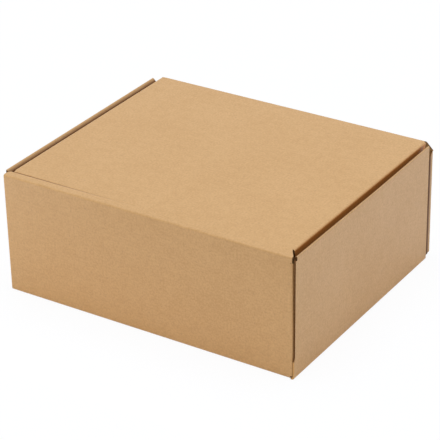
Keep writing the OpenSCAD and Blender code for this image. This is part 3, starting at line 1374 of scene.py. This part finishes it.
@dataclass(frozen=True)
class RawEdge:
    """Cut edges of the board: liner edges and the fluted medium.

    From foot_low to foot_high on the flat sheet, in metres, the edge is the one that is
    pressed shut at the foot of the right slit, and it is painted paler there: painted light
    that offsets the shade of the narrow gap.
    """

    pattern: bpy.types.NodeTree
    light: Colour = (158, 115, 71)
    dark: Colour = (128, 88, 50)
    contrast: float = 2.5
    roughness: float = 0.95
    specular: float = 0.1
    relief: float = 0.0001
    foot_low: FlatPoint = (0.1245, -0.1075)
    foot_high: FlatPoint = (0.1398, -0.102)
    foot_painted_light: Colour = (205, 158, 100)

    def build(self) -> bpy.types.Material:
        """Makes the material.

        Returns:
            The material.
        """
        material, kit, shader = new_material("raw_edge")
        paper = kit.add("ShaderNodeGroup", node_tree=self.pattern)
        kit.feed(paper.inputs["Place"], kit.add("ShaderNodeTexCoord").outputs["Object"])
        kit.feed(paper.inputs["Contrast"], self.contrast)
        plain = kit.blend(paper.outputs["Tone"], to_linear(self.dark), to_linear(self.light))
        # Painted light: the pressed-shut edge at the foot of the right slit is made paler.
        for name, value in (("Base Color", kit.blend(self.foot(kit), plain, to_linear(self.foot_painted_light))),
                            ("Normal", kit.bump(paper.outputs["Height"], self.relief)),
                            ("Roughness", self.roughness), ("Specular IOR Level", self.specular)):
            kit.feed(shader.inputs[name], value)
        return material

    def foot(self, kit: NodeKit) -> Socket:
        """Makes the mask of the painted light on the edge at the foot of the right slit.

        Args:
            kit: the material's nodes.

        Returns:
            The mask, from 0 to 1.
        """
        within: Socket | float = 1.0
        for part, low, high in zip(kit.flat_parts(), self.foot_low, self.foot_high):
            for kind, edge in (("GREATER_THAN", low), ("LESS_THAN", high)):
                within = kit.math("MULTIPLY", within, kit.math(kind, part, edge))
        return within


@dataclass(frozen=True)
class SoftLamp:
    """A rectangular lamp that the camera doesn't see, in metres and watts."""

    name: str
    place: Vector
    aim: Vector
    width: float
    height: float
    power: float
    tint: tuple[float, float, float] = (1.0, 1.0, 1.0)

    def build(self) -> None:
        """Makes the lamp."""
        lamp = bpy.data.lights.new(self.name, "AREA")
        lamp.shape = "RECTANGLE"
        lamp.color = self.tint
        lamp.energy, lamp.size, lamp.size_y = self.power, self.width, self.height
        holder = bpy.data.objects.new(self.name, lamp)
        holder.location = self.place
        holder.rotation_euler = (self.aim - self.place).to_track_quat("-Z", "Y").to_euler()
        holder.visible_camera = False
        bpy.context.scene.collection.objects.link(holder)


@dataclass
class Studio:
    """White floor, soft light from above, two faint lamps before the hinge wall and a pale surround.

    Sizes are metres and spreads degrees.
    """

    floor_size: float = 12.0
    floor_drop: float = 0.00005
    floor_white: float = 0.95
    shadow_fill: float = 0.92
    world_level: float = 0.464
    top_level: float = 1.8
    top_tint: tuple[float, float, float] = (0.97, 1.07, 1.28)
    top_spread: float = 60.0
    left_lamp: SoftLamp = SoftLamp("left_light", Vector((-0.25, -0.28, 0.04)), Vector((-0.125, -0.105, 0.04)),
                                   0.12, 0.1, 0.065)
    foot_lamp: SoftLamp = SoftLamp("foot_light", Vector((0, -0.2, 0.005)), Vector((0, -0.105, 0.02)),
                                   0.3, 0.01, 0.009, (1.0, 0.65, 0.4))

    def build(self) -> None:
        """Makes the floor, the world and the lamps."""
        bpy.context.scene.view_settings.view_transform = "Standard"
        bm = bmesh.new()
        bmesh.ops.create_grid(bm, x_segments=1, y_segments=1, size=self.floor_size / 2)
        bmesh.ops.translate(bm, verts=bm.verts, vec=(0, 0, -self.floor_drop))
        mesh = bpy.data.meshes.new("floor")
        bm.to_mesh(mesh)
        bm.free()
        floor = bpy.data.objects.new("floor", mesh)
        bpy.context.scene.collection.objects.link(floor)
        mesh.materials.append(self.floor_material())
        self.light_world()
        lamp = bpy.data.lights.new("top_light", "SUN")
        lamp.energy = self.top_level
        lamp.color = self.top_tint
        lamp.angle = math.radians(self.top_spread)
        bpy.context.scene.collection.objects.link(bpy.data.objects.new("top_light", lamp))
        self.left_lamp.build()
        self.foot_lamp.build()

    def floor_material(self) -> bpy.types.Material:
        """Makes a white floor that shows the camera only part of its shadows.

        Returns:
            The material.
        """
        material, kit, shader = new_material("white_floor")
        for name, value in (("Base Color", (*[self.floor_white] * 3, 1)), ("Roughness", 1.0),
                            ("Specular IOR Level", 0.0)):
            shader.inputs[name].default_value = value
        seen = kit.add("ShaderNodeLightPath").outputs["Is Camera Ray"]
        white = kit.add("ShaderNodeEmission").outputs[0]
        shown = kit.mix(kit.math("MULTIPLY", seen, self.shadow_fill), shader.outputs[0], white)
        kit.feed(material.node_tree.nodes["Material Output"].inputs["Surface"], shown)
        return material

    def light_world(self) -> None:
        """Makes a pale surround that looks pure white to the camera and in reflections."""
        world = bpy.data.worlds.new("surround")
        bpy.context.scene.world = world
        world.use_nodes = True
        world.node_tree.nodes.clear()
        kit = NodeKit(world.node_tree)
        path = kit.add("ShaderNodeLightPath").outputs
        seen: Socket | float = 0.0
        for ray in ("Is Camera Ray", "Is Glossy Ray", "Is Transmission Ray"):
            seen = kit.math("MAXIMUM", seen, path[ray])
        surround, shown = (
            kit.add("ShaderNodeBackground", {"Color": (1, 1, 1, 1), "Strength": level}).outputs[0]
            for level in (self.world_level, 1.0)
        )
        kit.add("ShaderNodeOutputWorld", {"Surface": kit.mix(seen, surround, shown)})


@dataclass(frozen=True)
class PhotoCamera:
    """The photograph's own camera, in metres and degrees, with its lens and sensor in millimetres."""

    place: Vector = Vector((0.71638, -1.10729, 0.74864))
    azimuth: float = 32.961
    elevation: float = 28.088
    roll: float = -1.162
    lens: float = 159.934
    sensor: float = 36.0
    sight: float = 50.0

    def build(self) -> None:
        """Makes the camera."""
        az, el, roll = (math.radians(x) for x in (self.azimuth, self.elevation, self.roll))
        back = Vector((math.sin(az) * math.cos(el), -math.cos(az) * math.cos(el), math.sin(el)))
        right = Vector((math.cos(az), math.sin(az), 0))
        up = back.cross(right)
        across = right * math.cos(roll) + up * math.sin(roll)
        above = up * math.cos(roll) - right * math.sin(roll)
        data = bpy.data.cameras.new("photo_camera")
        data.lens, data.sensor_width, data.clip_end = self.lens, self.sensor, self.sight
        camera = bpy.data.objects.new("photo_camera", data)
        turn = Matrix((across, above, back)).transposed().to_4x4()
        camera.matrix_world = Matrix.Translation(self.place) @ turn
        bpy.context.scene.collection.objects.link(camera)
        bpy.context.scene.camera = camera


def main() -> None:
    """Builds the box, its light and its camera, in order."""
    logging.basicConfig(level=logging.INFO, format="%(name)s: %(message)s")
    plan = MailerPlan.from_frame()
    pattern = PaperPattern().build()
    shade = FoldShade(plan.roll_shade_start * MM)
    finishes = Finishes(KraftLiner(pattern, shade).build(), RawEdge(pattern).build())
    Tray(plan, finishes).build()
    Lid(plan, finishes).build()
    Crease(plan, finishes).build()
    Studio().build()
    PhotoCamera().build()


if __name__ == "__main__":
    main()
